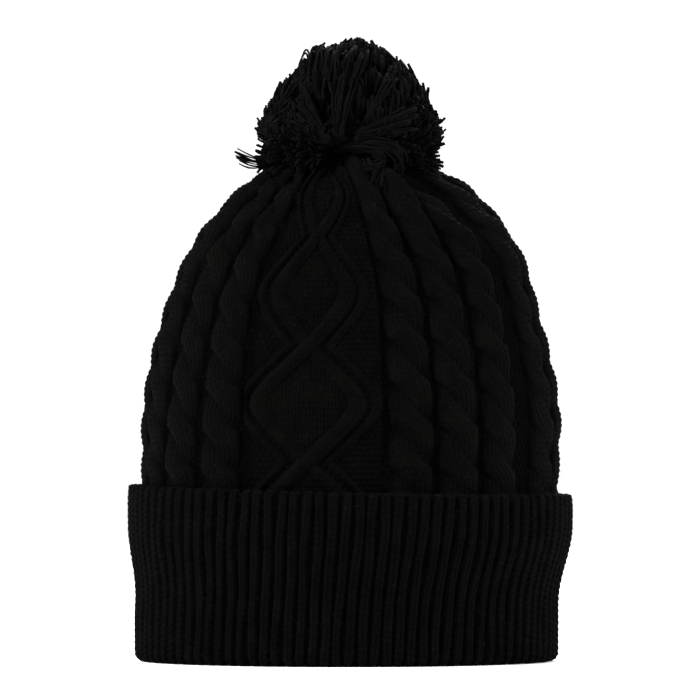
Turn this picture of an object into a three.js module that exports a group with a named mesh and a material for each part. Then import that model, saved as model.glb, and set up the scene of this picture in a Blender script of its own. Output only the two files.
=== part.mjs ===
// A knit pom-pom beanie with a turned-up rib cuff, standing on its cuff as on an oval hat block.
//
// Frame: millimetres, +Z up, origin on the ground under the centre of the cuff.
// The front of the hat looks along -Y, and its broad side lies along X.
//
// The knitted tube is one fabric that is shown as three shells: the crown with its cables, the rib
// band inside, and the same rib turned up outside. The pom-pom is tied through the gathered crown.

import * as THREE from 'three';

// ---- Driving dimensions ----

// Turned-up cuff: half its width at the fold and at its top edge, and its height.
const CUFF_HALF_FOLD = 104.7;
const CUFF_HALF_TOP = 110;
const CUFF_HEIGHT = 87;
const CUFF_FLARE_FROM = 30;
const CUFF_FLARE_TO = 68;
const RIB_THICK = 5;
const FOLD_OUTER_RADIUS = 3.5;
const FOLD_INNER_RADIUS = 3;

// The hat is this much less deep than it is wide, on each side of the middle.
const DEPTH_DROP = 24.5;

// Crown fabric, from the top of the rib to the gathered hole under the pom-pom.
const CROWN_THICK = 6;
const CROWN_BASE_Z = 84.3;
const CROWN_DEPTH_RATIO = 0.763;
const CROWN_TOP_DEPTH_RATIO = 0.88;
const GATHER_RADIUS = 8;
const GATHER_Z = 244.2;
const GATHER_X = -7;

// Half width and height of the crown's outer outline.
const CROWN_OUTLINE = [
  [103.3, CROWN_BASE_Z],
  [103.2, 110],
  [101.5, 131],
  [97.2, 154],
  [90, 178],
  [80.5, 201.5],
  [70.5, 218],
  [59.5, 231],
  [45, 241],
  [26, 245],
  [GATHER_RADIUS, GATHER_Z],
];

// Gap that keeps neighbouring solids apart.
const GAP = 0.3;

// Pom-pom: a dome of yarn over its tie, which is the pivot that it flops about.
const TIE = new THREE.Vector3(GATHER_X, 0, 248);
const POM_RADIUS = 46.3;
const POM_BASE_Z = 250;
const POM_TOP_Z = 306.8;
const POM_RIM_Z = 266;
const POM_ROUNDNESS = 0.6;
const NECK_RADIUS = 2.6;
const BINDING_RADIUS = 5.5;
const BINDING_HEIGHT = 7.5;
const BINDING_CLEARANCE = 0.7;

// The pom-pom's hollowed underside: radius and height above the tie, from its socket outwards.
const POM_UNDERSIDE = [
  [9.2, 5.5],
  [20, 9.5],
  [33, 14],
];
const POM_SOCKET_EDGE = 4.5;

// Yarns that close the crown and hold the pom-pom.
const GATHER_RING_RADIUS = 5;
const GATHER_YARN_RADIUS = 1.1;
const ANCHOR_YARN_RADIUS = 2.2;
const ANCHOR_DROP = 10;
const ANCHOR_KNOT_RADIUS = 5;
const GATHER_YARN_DROP = 3;
const GATHER_KNOT_RADIUS = 1.8;
const GATHER_KNOT_DROP = 8.3;
const TAIL_RADIUS = 1.5;
const TAIL_ROUTE = [
  [-16, -4, 247],
  [-27, -8, 247.4],
  [-39, -13, 247.2],
  [-54.5, -17, 246.4],
];

// Seam down the middle of the back, and the blank care label sewn to it inside.
const SEAM_RADIUS = 1.1;
const SEAM_BAND_HEIGHTS = [10, 30, 50, 70];
const SEAM_CROWN_STEPS = 16;
const LABEL_WIDTH = 30;
const LABEL_HEIGHT = 45;
const LABEL_THICK = 0.6;
const LABEL_TOP_Z = 118;
const LABEL_Y = 70.3;
const LABEL_THREAD_RADIUS = 0.5;

// Steps of the round shapes.
const SEGMENTS_AROUND = 56;
const POM_SEGMENTS = 36;
const CROWN_STEPS = 14;
const POM_STEPS = 12;
const FINE_SEGMENTS = 14;

// ---- Materials ----

function yarn(colour, roughness) {
  return new THREE.MeshStandardMaterial({ color: colour, roughness, metalness: 0 });
}

const crownYarn = yarn(0x0d0e0d, 0.95);
const ribYarn = yarn(0x0c0d0c, 0.95);
const pomYarn = yarn(0x0b0c0b, 0.92);
const sewingYarn = yarn(0x121312, 0.9);
const labelSatin = yarn(0xe9e7e0, 0.45);
const labelThread = yarn(0xdad8d0, 0.7);

// ---- Helpers ----

function named(name, geometry, material) {
  const mesh = new THREE.Mesh(geometry, material);
  mesh.name = name;
  return mesh;
}

function smoothstep(from, to, value) {
  return THREE.MathUtils.smoothstep(value, from, to);
}

// A solid of oval rings. Each point of the closed profile gives a ring: its half width, its half
// depth, its height and how far its centre is shifted along X. The profile runs anticlockwise in
// the half plane right of the axis, so that the faces point out.
function ovalSolid(profile, segments) {
  const outline = profile.map((point) => new THREE.Vector2(point.width, point.z));
  const geometry = new THREE.LatheGeometry(outline, segments);
  geometry.rotateX(Math.PI / 2);
  const position = geometry.getAttribute('position');
  for (let i = 0; i < position.count; i += 1) {
    const point = profile[i % profile.length];
    const ratio = point.width > 0 ? point.depth / point.width : 1;
    position.setX(i, position.getX(i) + point.shift);
    position.setY(i, position.getY(i) * ratio);
  }
  return geometry;
}

function arcPoints(centreX, centreZ, radius, fromDegrees, toDegrees, steps) {
  const points = [];
  for (let i = 0; i <= steps; i += 1) {
    const angle = THREE.MathUtils.degToRad(fromDegrees + ((toDegrees - fromDegrees) * i) / steps);
    points.push([centreX + radius * Math.cos(angle), centreZ + radius * Math.sin(angle)]);
  }
  return points;
}

function closed(points) {
  return [...points, points[0]];
}

function ball(radius) {
  return new THREE.SphereGeometry(radius, FINE_SEGMENTS, FINE_SEGMENTS / 2);
}

function upright(radius, height) {
  return new THREE.CylinderGeometry(radius, radius, height, FINE_SEGMENTS).rotateX(Math.PI / 2);
}

// A round cord of the given radius along a curve through the points.
function cord(points, radius, steps) {
  const section = new THREE.Shape(
    arcPoints(0, 0, radius, 0, 315, 7).map(([x, y]) => new THREE.Vector2(x, y)),
  );
  const path = new THREE.CatmullRomCurve3(points);
  return new THREE.ExtrudeGeometry(section, { steps, extrudePath: path });
}

// ---- Cuff ----

function cuffHalfWidth(z) {
  const flare = smoothstep(CUFF_FLARE_FROM, CUFF_FLARE_TO, z);
  return THREE.MathUtils.lerp(CUFF_HALF_FOLD, CUFF_HALF_TOP, flare);
}

// Points of a cuff wall, set in from the outer face, from one height to another.
function cuffWall(inset, fromZ, toZ, steps) {
  const points = [];
  for (let i = 0; i <= steps; i += 1) {
    const z = THREE.MathUtils.lerp(fromZ, toZ, i / steps);
    points.push([cuffHalfWidth(z) - inset, z]);
  }
  return points;
}

function cuffProfile(points) {
  return closed(points).map(([width, z]) => ({ width, depth: width - DEPTH_DROP, z, shift: 0 }));
}

// The outer layer, with the fold that the hat stands on reaching in under the inner layer.
function turnUpCuff() {
  const edgeRadius = RIB_THICK / 2;
  const edgeZ = CUFF_HEIGHT - edgeRadius;
  const foldReach = 2 * RIB_THICK + GAP;
  const foldInner = CUFF_HALF_FOLD - foldReach;
  return cuffProfile([
    ...arcPoints(CUFF_HALF_FOLD - FOLD_OUTER_RADIUS, FOLD_OUTER_RADIUS, FOLD_OUTER_RADIUS, -90, 0, 3),
    ...cuffWall(0, 24, edgeZ, 5),
    ...arcPoints(CUFF_HALF_TOP - edgeRadius, edgeZ, edgeRadius, 36, 180, 4),
    ...cuffWall(RIB_THICK, edgeZ - 8, RIB_THICK, 5),
    ...arcPoints(foldInner + FOLD_INNER_RADIUS / 2, RIB_THICK - FOLD_INNER_RADIUS / 2,
      FOLD_INNER_RADIUS / 2, 90, 180, 2),
    ...arcPoints(foldInner + FOLD_INNER_RADIUS, FOLD_INNER_RADIUS, FOLD_INNER_RADIUS, 180, 270, 2),
  ]);
}

// The inner layer, from just above the fold to where the crown fabric begins.
function innerRibBand() {
  const outer = RIB_THICK + GAP;
  const lowZ = RIB_THICK + GAP;
  const highZ = CROWN_BASE_Z - GAP;
  return cuffProfile([
    ...cuffWall(outer, lowZ, highZ, 6),
    ...cuffWall(outer + RIB_THICK, highZ, lowZ, 6),
  ]);
}

// ---- Crown ----

const crownCurve = new THREE.SplineCurve(CROWN_OUTLINE.map(([width, z]) => new THREE.Vector2(width, z)));

function crownDepthRatio(z) {
  const rise = smoothstep(150, GATHER_Z, z);
  return THREE.MathUtils.lerp(CROWN_DEPTH_RATIO, CROWN_TOP_DEPTH_RATIO, rise);
}

// The gather sits a little left of the middle, so the rings near it are shifted.
function gatherShift(width) {
  return GATHER_X * (1 - smoothstep(GATHER_RADIUS, POM_RADIUS, width));
}

// A point of the crown's outline, set in along its normal. The base stays level.
function crownPoint(along, inset) {
  const point = crownCurve.getPointAt(along);
  const tangent = crownCurve.getTangentAt(along);
  const level = smoothstep(0, 0.06, along);
  const width = Math.max(point.x - inset * THREE.MathUtils.lerp(1, tangent.y, level), GATHER_RADIUS);
  const z = point.y + inset * tangent.x * level;
  return { width, depth: width * crownDepthRatio(z), z, shift: gatherShift(width) };
}

function knitBody() {
  const outer = [];
  const inner = [];
  for (let i = 0; i <= CROWN_STEPS; i += 1) {
    outer.push(crownPoint(i / CROWN_STEPS, 0));
    inner.unshift(crownPoint(i / CROWN_STEPS, CROWN_THICK));
  }
  return closed([...outer, ...inner]);
}

// ---- Seam and label ----

// The ridge of the back seam runs up the inside of the rib band and of the crown.
function backSeam() {
  const clear = SEAM_RADIUS + 2 * GAP;
  const bandInset = 2 * RIB_THICK + GAP;
  const points = SEAM_BAND_HEIGHTS.map(
    (z) => new THREE.Vector3(0, cuffHalfWidth(z) - bandInset - DEPTH_DROP - clear, z),
  );
  for (let i = 1; i < SEAM_CROWN_STEPS - 2; i += 1) {
    const point = crownPoint(i / SEAM_CROWN_STEPS, CROWN_THICK + clear + 3 * GAP);
    points.push(new THREE.Vector3(point.shift, point.depth, point.z));
  }
  return cord(points, SEAM_RADIUS, 32);
}

function careLabel() {
  const geometry = new THREE.BoxGeometry(LABEL_WIDTH, LABEL_THICK, LABEL_HEIGHT);
  return geometry.translate(0, LABEL_Y, LABEL_TOP_Z - LABEL_HEIGHT / 2);
}

// The thread along the label's top edge is the line that the label swings about.
function labelStitching() {
  const length = LABEL_WIDTH - 4;
  const thread = new THREE.CylinderGeometry(LABEL_THREAD_RADIUS, LABEL_THREAD_RADIUS, length, 12);
  return thread.rotateZ(Math.PI / 2).translate(0, LABEL_Y, LABEL_TOP_Z + LABEL_THREAD_RADIUS + GAP);
}

// ---- Pom-pom and its yarns ----

function pomRing(width, z, shift) {
  return { width, depth: width, z, shift };
}

function pomRadius(z) {
  const rise = (z - POM_BASE_Z) / (POM_TOP_Z - POM_BASE_Z);
  return POM_RADIUS * (1 - rise * rise) ** POM_ROUNDNESS;
}

// A dome of yarn over the middle of the crown. Its hollowed underside narrows towards the tie, where
// it has a socket round the binding.
function pomStrands() {
  const socketRadius = BINDING_RADIUS + BINDING_CLEARANCE;
  const socketTop = TIE.z + NECK_RADIUS + 2 * GAP + BINDING_HEIGHT + BINDING_CLEARANCE;
  const profile = [
    pomRing(0, socketTop, TIE.x),
    pomRing(socketRadius, socketTop, TIE.x),
    pomRing(socketRadius, TIE.z + POM_SOCKET_EDGE, TIE.x),
    ...POM_UNDERSIDE.map(([radius, rise]) => pomRing(radius, TIE.z + rise, gatherShift(radius))),
  ];
  for (let i = 0; i < POM_STEPS; i += 1) {
    const z = THREE.MathUtils.lerp(POM_RIM_Z, POM_TOP_Z, Math.sin((i / POM_STEPS) * (Math.PI / 2)));
    profile.push(pomRing(pomRadius(z), z, 0));
  }
  profile.push(pomRing(0, POM_TOP_Z, 0));
  return profile;
}

function pomBinding() {
  const bottom = TIE.z + NECK_RADIUS + GAP;
  return upright(BINDING_RADIUS, BINDING_HEIGHT).translate(TIE.x, 0, bottom + BINDING_HEIGHT / 2);
}

function pomNeck() {
  return ball(NECK_RADIUS).translate(TIE.x, TIE.y, TIE.z);
}

// The tie runs from the knot inside the hat up through the gathered hole.
function anchorYarn() {
  const top = TIE.z - NECK_RADIUS - GAP;
  const bottom = GATHER_Z - ANCHOR_DROP;
  return upright(ANCHOR_YARN_RADIUS, top - bottom).translate(TIE.x, 0, (top + bottom) / 2);
}

function anchorKnot() {
  return ball(ANCHOR_KNOT_RADIUS).translate(TIE.x, 0, GATHER_Z - ANCHOR_DROP - GAP - ANCHOR_KNOT_RADIUS);
}

function gatherYarn() {
  const ring = new THREE.TorusGeometry(GATHER_RING_RADIUS, GATHER_YARN_RADIUS, 8, 24);
  return ring.translate(GATHER_X, 0, GATHER_Z - GATHER_YARN_DROP);
}

function gatherKnot() {
  const x = GATHER_X + GATHER_RING_RADIUS;
  return ball(GATHER_KNOT_RADIUS).translate(x, 0, GATHER_Z - GATHER_KNOT_DROP);
}

// The cut ends of the tie lie out to the left over the crown.
function tieTails() {
  return cord(TAIL_ROUTE.map(([x, y, z]) => new THREE.Vector3(x, y, z)), TAIL_RADIUS, 16);
}

// ---- The hat ----

const hat = new THREE.Group();
hat.add(named('knit_body', ovalSolid(knitBody(), SEGMENTS_AROUND), crownYarn));
hat.add(named('inner_rib_band', ovalSolid(innerRibBand(), SEGMENTS_AROUND), ribYarn));
hat.add(named('turn_up_cuff', ovalSolid(turnUpCuff(), SEGMENTS_AROUND), ribYarn));
hat.add(named('back_seam', backSeam(), sewingYarn));
hat.add(named('gather_yarn', gatherYarn(), sewingYarn));
hat.add(named('gather_knot', gatherKnot(), sewingYarn));
hat.add(named('anchor_yarn', anchorYarn(), sewingYarn));
hat.add(named('anchor_knot', anchorKnot(), sewingYarn));
hat.add(named('tie_tails', tieTails(), pomYarn));
hat.add(named('label_stitching', labelStitching(), labelThread));
hat.add(named('care_label', careLabel(), labelSatin));

const pomPom = new THREE.Group();
pomPom.add(named('pom_neck', pomNeck(), sewingYarn));
pomPom.add(named('pom_binding', pomBinding(), sewingYarn));
pomPom.add(named('pom_strands', ovalSolid(pomStrands(), POM_SEGMENTS), pomYarn));
hat.add(pomPom);

export default hat;
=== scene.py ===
"""Looks of the knit pom-pom beanie: stitched cable crown, rib cuff and a pom-pom of cut yarn.

Lengths in the modelling functions are millimetres, in the frame of the CAD model. A mesh is
scaled to metres when it is made.
"""

import math

import bpy
import numpy as np
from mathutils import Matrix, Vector


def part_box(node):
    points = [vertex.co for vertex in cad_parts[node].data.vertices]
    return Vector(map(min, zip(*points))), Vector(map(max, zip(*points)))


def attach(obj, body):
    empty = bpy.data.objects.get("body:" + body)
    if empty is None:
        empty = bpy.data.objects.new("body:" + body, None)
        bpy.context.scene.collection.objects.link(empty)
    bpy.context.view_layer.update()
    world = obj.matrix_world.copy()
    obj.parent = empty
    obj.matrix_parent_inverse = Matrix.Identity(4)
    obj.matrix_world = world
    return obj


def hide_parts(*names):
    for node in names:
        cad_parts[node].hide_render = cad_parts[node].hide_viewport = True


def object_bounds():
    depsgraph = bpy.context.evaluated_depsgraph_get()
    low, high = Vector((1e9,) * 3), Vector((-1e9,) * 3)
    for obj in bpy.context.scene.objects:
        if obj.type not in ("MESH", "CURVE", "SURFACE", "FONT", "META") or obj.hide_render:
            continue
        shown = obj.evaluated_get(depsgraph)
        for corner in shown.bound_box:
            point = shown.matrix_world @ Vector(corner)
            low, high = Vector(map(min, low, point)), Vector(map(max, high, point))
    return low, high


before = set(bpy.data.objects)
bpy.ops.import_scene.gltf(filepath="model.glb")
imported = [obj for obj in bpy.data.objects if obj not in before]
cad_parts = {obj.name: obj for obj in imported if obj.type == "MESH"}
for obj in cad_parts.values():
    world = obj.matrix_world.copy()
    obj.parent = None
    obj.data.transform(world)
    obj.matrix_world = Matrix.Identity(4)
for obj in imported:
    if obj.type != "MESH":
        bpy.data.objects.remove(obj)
cad_low, cad_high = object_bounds()

MM = 0.001
TAU = 2 * math.pi


def node_box(node):
    """A node's lowest and highest corners, in millimetres."""
    low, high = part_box(node)
    return np.array(low) / MM, np.array(high) / MM


def middle_of(node):
    low, high = node_box(node)
    return (low + high) / 2


# ---- sizes

CUFF_HIGH = node_box("turn_up_cuff")[1]
TIE = middle_of("pom_neck")

CUFF_HALF_TOP = CUFF_HIGH[0]
CUFF_HALF_FOLD = CUFF_HALF_TOP - 5.3
CUFF_HEIGHT = CUFF_HIGH[2] + 0.9
DEPTH_DROP = CUFF_HIGH[0] - CUFF_HIGH[1]
RIB_THICK = 5.0
TWO_LAYERS = 2 * RIB_THICK + 0.3
RIB_RELIEF = 2.5
RIBS = 96
RIB_ROWS_MM = 3.1

CROWN_BASE_Z = node_box("knit_body")[0][2]
CROWN_THICK = 6.0
CROWN_RELIEF = 4.9
CROWN_DEPTH_RATIO = 0.763
CROWN_TOP_DEPTH_RATIO = 0.88
GATHER_RADIUS = 8.0
GATHER_Z = 244.2
LEANING_TOP_RADIUS = 70.0
CROWN_OUTLINE = [
    (103.3, CROWN_BASE_Z), (103.2, 110), (101.5, 131), (97.2, 154), (90, 178), (80.5, 201.5),
    (70.5, 218), (59.5, 231), (45, 241), (26, 245), (GATHER_RADIUS, GATHER_Z),
]

# Places round the crown are arc lengths at its base, from the middle of the front. Ropes fill the
# way round but for the lattice panel and two plain strips: at the right-hand edge, and at the back,
# where the seam is.
PANEL_FROM = -55.5
PANEL_TO = 18.0
PANEL_MIDDLE = -21.5
SIDE_STRIP = (93.0, 101.0)
BACK_STRIP_HALF = 4.0
ROWS_MM = 2.9
SEAM_STITCH_MM = 3.4
CROWN_HEM = 5.5
HEM_FILLED = 3.5

# The right-hand shoulder of the crown stands out a little, where a rope lies folded over.
SHOULDER_Z = 203.0
SHOULDER_OUT = 3.4
FLANK_OUT = 1.9

POM_BASE_Z = 250.0
POM_TOP_Z = node_box("pom_strands")[1][2]
POM_RADIUS = 46.3
DOME_POWER = 1.4
DOME_LEAN = 3.0


# ---- small maths


def smooth(low, high, x):
    t = np.clip((x - low) / (high - low), 0, 1)
    return t * t * (3 - 2 * t)


def mix(a, b, t):
    return a + (b - a) * t


def rounded(x, power=2.4):
    """Height of a rounded bar: 1 in its middle, 0 from its edges (|x| = 1) outwards."""
    return np.sqrt(np.clip(1 - np.abs(x) ** power, 0, None))


def knit(across, along):
    """Relief of knit stitches, 0 to 1: a column of Vs is one unit across and one V one unit along."""
    place = across - np.round(across)
    side = np.abs(place) * 2
    leg = np.sin(np.pi * np.clip(side, 0, 1)) ** 0.8
    slant = along - 0.62 * side
    bead = 0.5 + 0.5 * np.cos(TAU * slant)
    return leg * (0.35 + 0.65 * bead**0.7)


def purl(across, along):
    """Relief of purl bumps, 0 to 1, staggered in alternate rows."""
    shift = 0.5 * (np.floor(along) % 2)
    return np.abs(np.sin(np.pi * (across + shift))) * np.abs(np.sin(np.pi * along)) ** 0.8


def even_path(points, steps):
    """Points at equal steps of a path's length, and how far along it each one is."""
    length = np.concatenate([[0], np.cumsum(np.linalg.norm(np.diff(points, axis=0), axis=1))])
    at = np.linspace(0, length[-1], steps)
    return np.stack([np.interp(at, length, column) for column in points.T], axis=1), at


def curved_path(points, steps):
    """The same along a Catmull-Rom curve through the points."""
    p = np.array(points, float)
    p = np.vstack([p[0], p, p[-1]])
    t = np.linspace(0, 1, 40, endpoint=False)[:, None]
    dense = []
    for a, b, c, d in zip(p, p[1:], p[2:], p[3:]):
        slope, bend, twist = c - a, 2 * a - 5 * b + 4 * c - d, 3 * b - a - 3 * c + d
        dense.append(0.5 * (2 * b + slope * t + bend * t**2 + twist * t**3))
    return even_path(np.vstack(dense + [p[-1:]]), steps)


def xyz(x, y, z):
    """Points, along a last axis, from their coordinates."""
    return np.stack(np.broadcast_arrays(x, y, z), axis=-1)


def round_axis(radius, angle, z):
    """Points round the upright axis."""
    return xyz(radius * np.cos(angle), radius * np.sin(angle), z)


def unit(v):
    return v / np.maximum(np.linalg.norm(v, axis=-1, keepdims=True), 1e-9)


# ---- materials


class Shading:
    """A new material, and the nodes that colour it. A blank in a socket's name is written _."""

    def __init__(self, name, **values):
        self.material = bpy.data.materials.new(name)
        self.material.use_nodes = True
        self.tree = self.material.node_tree
        self.set_shader(**values)

    def fill(self, node, **values):
        """Sets inputs of a node, each to a value or to the output of another node."""
        for name, value in values.items():
            socket = node.inputs[name.replace("_", " ")]
            if isinstance(value, bpy.types.NodeSocket):
                self.tree.links.new(value, socket)
            else:
                socket.default_value = value
        return node

    def set_shader(self, **values):
        self.fill(self.tree.nodes["Principled BSDF"], **values)

    def node(self, kind, **values):
        return self.fill(self.tree.nodes.new(f"ShaderNode{kind}"), **values)

    def place(self):
        return self.node("TexCoord").outputs["Object"]

    def noise(self, size_mm, detail, roughness=0.5):
        """A noise whose blobs are about size_mm across."""
        scale = 1 / (size_mm * MM)
        texture = self.node("TexNoise", Scale=scale, Detail=detail, Roughness=roughness)
        return self.fill(texture, Vector=self.place()).outputs["Fac"]

    def two_tone(self, factor, low, high, dark, light):
        """A colour that goes from dark to light as the factor goes from low to high."""
        ramp = self.node("ValToRGB", Fac=factor)
        for element, position, colour in zip(ramp.color_ramp.elements, (low, high), (dark, light)):
            element.position = position
            element.color = (*colour, 1)
        return ramp.outputs["Color"]

    def blend(self, blend_type, first, second):
        mixer = self.node("Mix")
        mixer.data_type = "RGBA"
        mixer.blend_type = blend_type
        return self.fill(mixer, Factor=1, A=first, B=second).outputs["Result"]

    def add_bump(self, height, strength, distance_mm):
        bump = self.node("Bump", Strength=strength, Distance=distance_mm * MM, Height=height)
        self.set_shader(Normal=bump.outputs["Normal"])


LINT = (0.004, 0.0042, 0.004)
FIBRE_MM = 0.35
# Painted shade in the knit's grooves: below the crest rise the yarn's colour and sheen are darkened, down
# to a share of 0.3 at the groove rise.
GROOVE_RISE, CREST_RISE = 0.08, 0.7
PAINTED_GROOVE_SHADE = 0.3


def yarn_material(name, dark, light, sheen=0.0066, paint_groove_shade=False):
    """Matt black yarn: uneven dye, specks of pale lint, a faint sheen and a bump of fine fibres.

    With painted groove shade, the mesh's "rise" tells crests from grooves, and the grooves are painted
    darker, with less sheen, as shade.
    """
    shading = Shading(
        name, Base_Color=(*light, 1), Roughness=0.9, Specular_IOR_Level=0.012,
        Sheen_Weight=sheen, Sheen_Roughness=0.5, Sheen_Tint=(0.6, 0.61, 0.6, 1),
    )
    dye = shading.two_tone(shading.noise(9, 5), 0.3, 0.7, dark, light)
    specks = shading.two_tone(shading.noise(0.9, 2, 0.6), 0.64, 0.76, (0, 0, 0), LINT)
    colour = shading.blend("ADD", dye, specks)
    if paint_groove_shade:
        # Painted shade: colour and sheen are darkened where the knit's rise is low, in its grooves, where
        # shade falls.
        attribute = shading.node("Attribute")
        attribute.attribute_name = "rise"
        rise = attribute.outputs["Fac"]
        painted_shade = shading.two_tone(rise, GROOVE_RISE, CREST_RISE, (PAINTED_GROOVE_SHADE,) * 3, (1, 1, 1))
        colour = shading.blend("MULTIPLY", colour, painted_shade)
        painted_sheen = shading.node(
            "MapRange", Value=rise, From_Min=GROOVE_RISE, From_Max=CREST_RISE,
            To_Min=sheen * PAINTED_GROOVE_SHADE, To_Max=sheen,
        )
        shading.set_shader(Sheen_Weight=painted_sheen.outputs["Result"])
    shading.set_shader(Base_Color=colour)
    shading.add_bump(shading.noise(FIBRE_MM, 3, 0.65), 0.5, FIBRE_MM)
    return shading.material


def satin_material(name, dark, light, weave_mm):
    """Pale satin or thread: fine ribs across it, a soft gloss and faint soiling."""
    shading = Shading(
        name, Base_Color=(*light, 1), Roughness=0.42, Specular_IOR_Level=0.4, Sheen_Weight=0.2
    )
    shading.set_shader(Base_Color=shading.two_tone(shading.noise(7, 4), 0.3, 0.7, dark, light))
    scale = 0.31 / (weave_mm * MM)
    weave = shading.node("TexWave", Scale=scale, Distortion=0.6, Vector=shading.place())
    weave.bands_direction = "Z"
    shading.add_bump(weave.outputs["Fac"], 0.35, 0.1)
    return shading.material


# The crown's and the rib's yarn are painted darker in the knit's grooves, as shade.
knit_colours = (0.0005, 0.0006, 0.0005), (0.0011, 0.0013, 0.001)
crown_yarn = yarn_material("crown_yarn", *knit_colours, paint_groove_shade=True)
rib_yarn = yarn_material("rib_yarn", *knit_colours, paint_groove_shade=True)
pom_yarn = yarn_material("pom_yarn", (0.0006, 0.0007, 0.0006), (0.0017, 0.0019, 0.0017), sheen=0.0105)
sewing_yarn = yarn_material("sewing_yarn", (0.0014, 0.0016, 0.0014), (0.003, 0.0032, 0.003))
fuzz_yarn = yarn_material("fuzz_yarn", (0.003, 0.0032, 0.003), (0.007, 0.0074, 0.007), sheen=0.03)
label_satin = satin_material("label_satin", (0.66, 0.64, 0.58), (0.80, 0.79, 0.75), 0.30)
label_thread = satin_material("label_thread", (0.56, 0.54, 0.48), (0.70, 0.69, 0.64), 0.45)


# ---- mesh makers


def sharpen(mesh, outline):
    """Keeps the normals on the two sides of an outline of vertices apart."""
    on_outline = np.zeros(len(mesh.vertices), bool)
    on_outline[outline] = True
    ends = np.empty(len(mesh.edges) * 2, np.int32)
    mesh.edges.foreach_get("vertices", ends)
    sharp = on_outline[ends.reshape(-1, 2)].all(axis=1)
    attribute = mesh.attributes.new("sharp_edge", "BOOLEAN", "EDGE")
    attribute.data.foreach_set("value", sharp)


def put_in_scene(name, data):
    item = bpy.data.objects.new(name, data)
    bpy.context.scene.collection.objects.link(item)
    return item


def make_piece(name, points, faces, material, body, outline=None, rise=None):
    """A mesh piece from points and arrays of faces with three or four corners."""
    mesh = bpy.data.meshes.new(name)
    points = np.asarray(points, np.float64).reshape(-1, 3)
    faces = [np.asarray(f, np.int32) for f in faces]
    sizes = np.concatenate([np.full(len(f), f.shape[1], np.int32) for f in faces])
    corners = np.concatenate([f.ravel() for f in faces])
    mesh.vertices.add(len(points))
    mesh.vertices.foreach_set("co", (points * MM).astype(np.float32).ravel())
    mesh.loops.add(len(corners))
    mesh.loops.foreach_set("vertex_index", corners)
    mesh.polygons.add(len(sizes))
    starts = np.concatenate([[0], np.cumsum(sizes)[:-1]]).astype(np.int32)
    mesh.polygons.foreach_set("loop_start", starts)
    mesh.polygons.foreach_set("use_smooth", np.ones(len(sizes), bool))
    mesh.update(calc_edges=True)
    mesh.validate()
    if outline is not None:
        sharpen(mesh, outline)
    # The rise, the knit's height from groove to crest, is the mask for the painted groove shade in the yarn
    # material.
    if rise is not None:
        height = np.ones(len(points), np.float32)
        height[:rise.size] = rise.ravel()
        mesh.attributes.new("rise", "FLOAT", "POINT").data.foreach_set("value", height)
    mesh.materials.append(material)
    piece = put_in_scene(name, mesh)
    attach(piece, body)
    return piece


def grid(rows, columns, first=0):
    """Vertex numbers of a grid."""
    return first + np.arange(rows * columns).reshape(rows, columns)


def round_grid(rows, columns, first=0):
    """The same for a grid whose last column meets its first."""
    index = grid(rows, columns, first)
    return np.hstack([index, index[:, :1]])


def quads(index):
    """Faces of a grid of vertex numbers."""
    a, b, c, d = index[:-1, :-1], index[:-1, 1:], index[1:, 1:], index[1:, :-1]
    return np.stack([a, b, c, d], axis=-1).reshape(-1, 4)


def rim(fine, coarse, step):
    """Faces between an edge of the fine side and the same edge of the coarse side."""
    triangles = []
    half = step // 2
    for j in range(len(coarse) - 1):
        start = j * step
        for i in range(step):
            tip = coarse[j] if i < half else coarse[j + 1]
            triangles.append((fine[start + i], tip, fine[start + i + 1]))
        triangles.append((fine[start + half], coarse[j], coarse[j + 1]))
    return np.array(triangles)


def shell(front, back, step):
    """Closed sheet of cloth: a fine front grid, a back grid coarser by step, and the four rims."""
    rows, columns = front.shape[:2]
    front_index = grid(rows, columns)
    coarse = back[::step, ::step]
    back_index = grid(*coarse.shape[:2], first=rows * columns)
    points = np.vstack([front.reshape(-1, 3), coarse.reshape(-1, 3)])
    rims = [
        rim(front_index[0], back_index[0], step),
        rim(front_index[-1], back_index[-1], step)[:, ::-1],
        rim(front_index[:, 0], back_index[:, 0], step)[:, ::-1],
        rim(front_index[:, -1], back_index[:, -1], step),
    ]
    edge = np.concatenate([front_index[0], front_index[-1], front_index[:, 0], front_index[:, -1]])
    return points, [quads(front_index), quads(back_index)[:, ::-1], np.vstack(rims)], edge


def tubes(paths, radii, sides=6, ply=0.0, twist=0.0, phase=0.0):
    """Closed tubes along many paths (count, steps, 3). ply flattens the section like two plies."""
    count, steps = paths.shape[:2]
    tangent = unit(np.gradient(paths, axis=1))
    guide = np.broadcast_to(np.array([0.31, 0.43, 0.85]), tangent.shape)
    first = unit(np.cross(tangent, guide))
    second = np.cross(tangent, first)
    angle = np.arange(sides) * TAU / sides
    stretches = np.linalg.norm(np.diff(paths, axis=1), axis=2)
    travelled = np.hstack([np.zeros((count, 1)), np.cumsum(stretches, axis=1)])
    turn = travelled * twist + np.reshape(phase, (-1, 1))
    lobes = 1 + ply * np.cos(2 * (angle[None, None] - turn[..., None]))
    reach = np.broadcast_to(radii, (count, steps))[..., None] * lobes
    ring = first[:, :, None] * np.cos(angle)[:, None] + second[:, :, None] * np.sin(angle)[:, None]
    points = paths[:, :, None] + ring * reach[..., None]
    index = np.arange(count * steps * sides).reshape(count, steps, sides)
    following = np.roll(index, -1, axis=2)
    walls = [index[:, :-1], following[:, :-1], following[:, 1:], index[:, 1:]]
    caps = []
    for k in range(1, sides - 1):
        caps.append(np.stack([index[:, 0, 0], index[:, 0, k + 1], index[:, 0, k]], axis=-1))
        caps.append(np.stack([index[:, -1, 0], index[:, -1, k], index[:, -1, k + 1]], axis=-1))
    return points.reshape(-1, 3), [np.stack(walls, axis=-1).reshape(-1, 4), np.vstack(caps)]


# ---- crown


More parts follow.
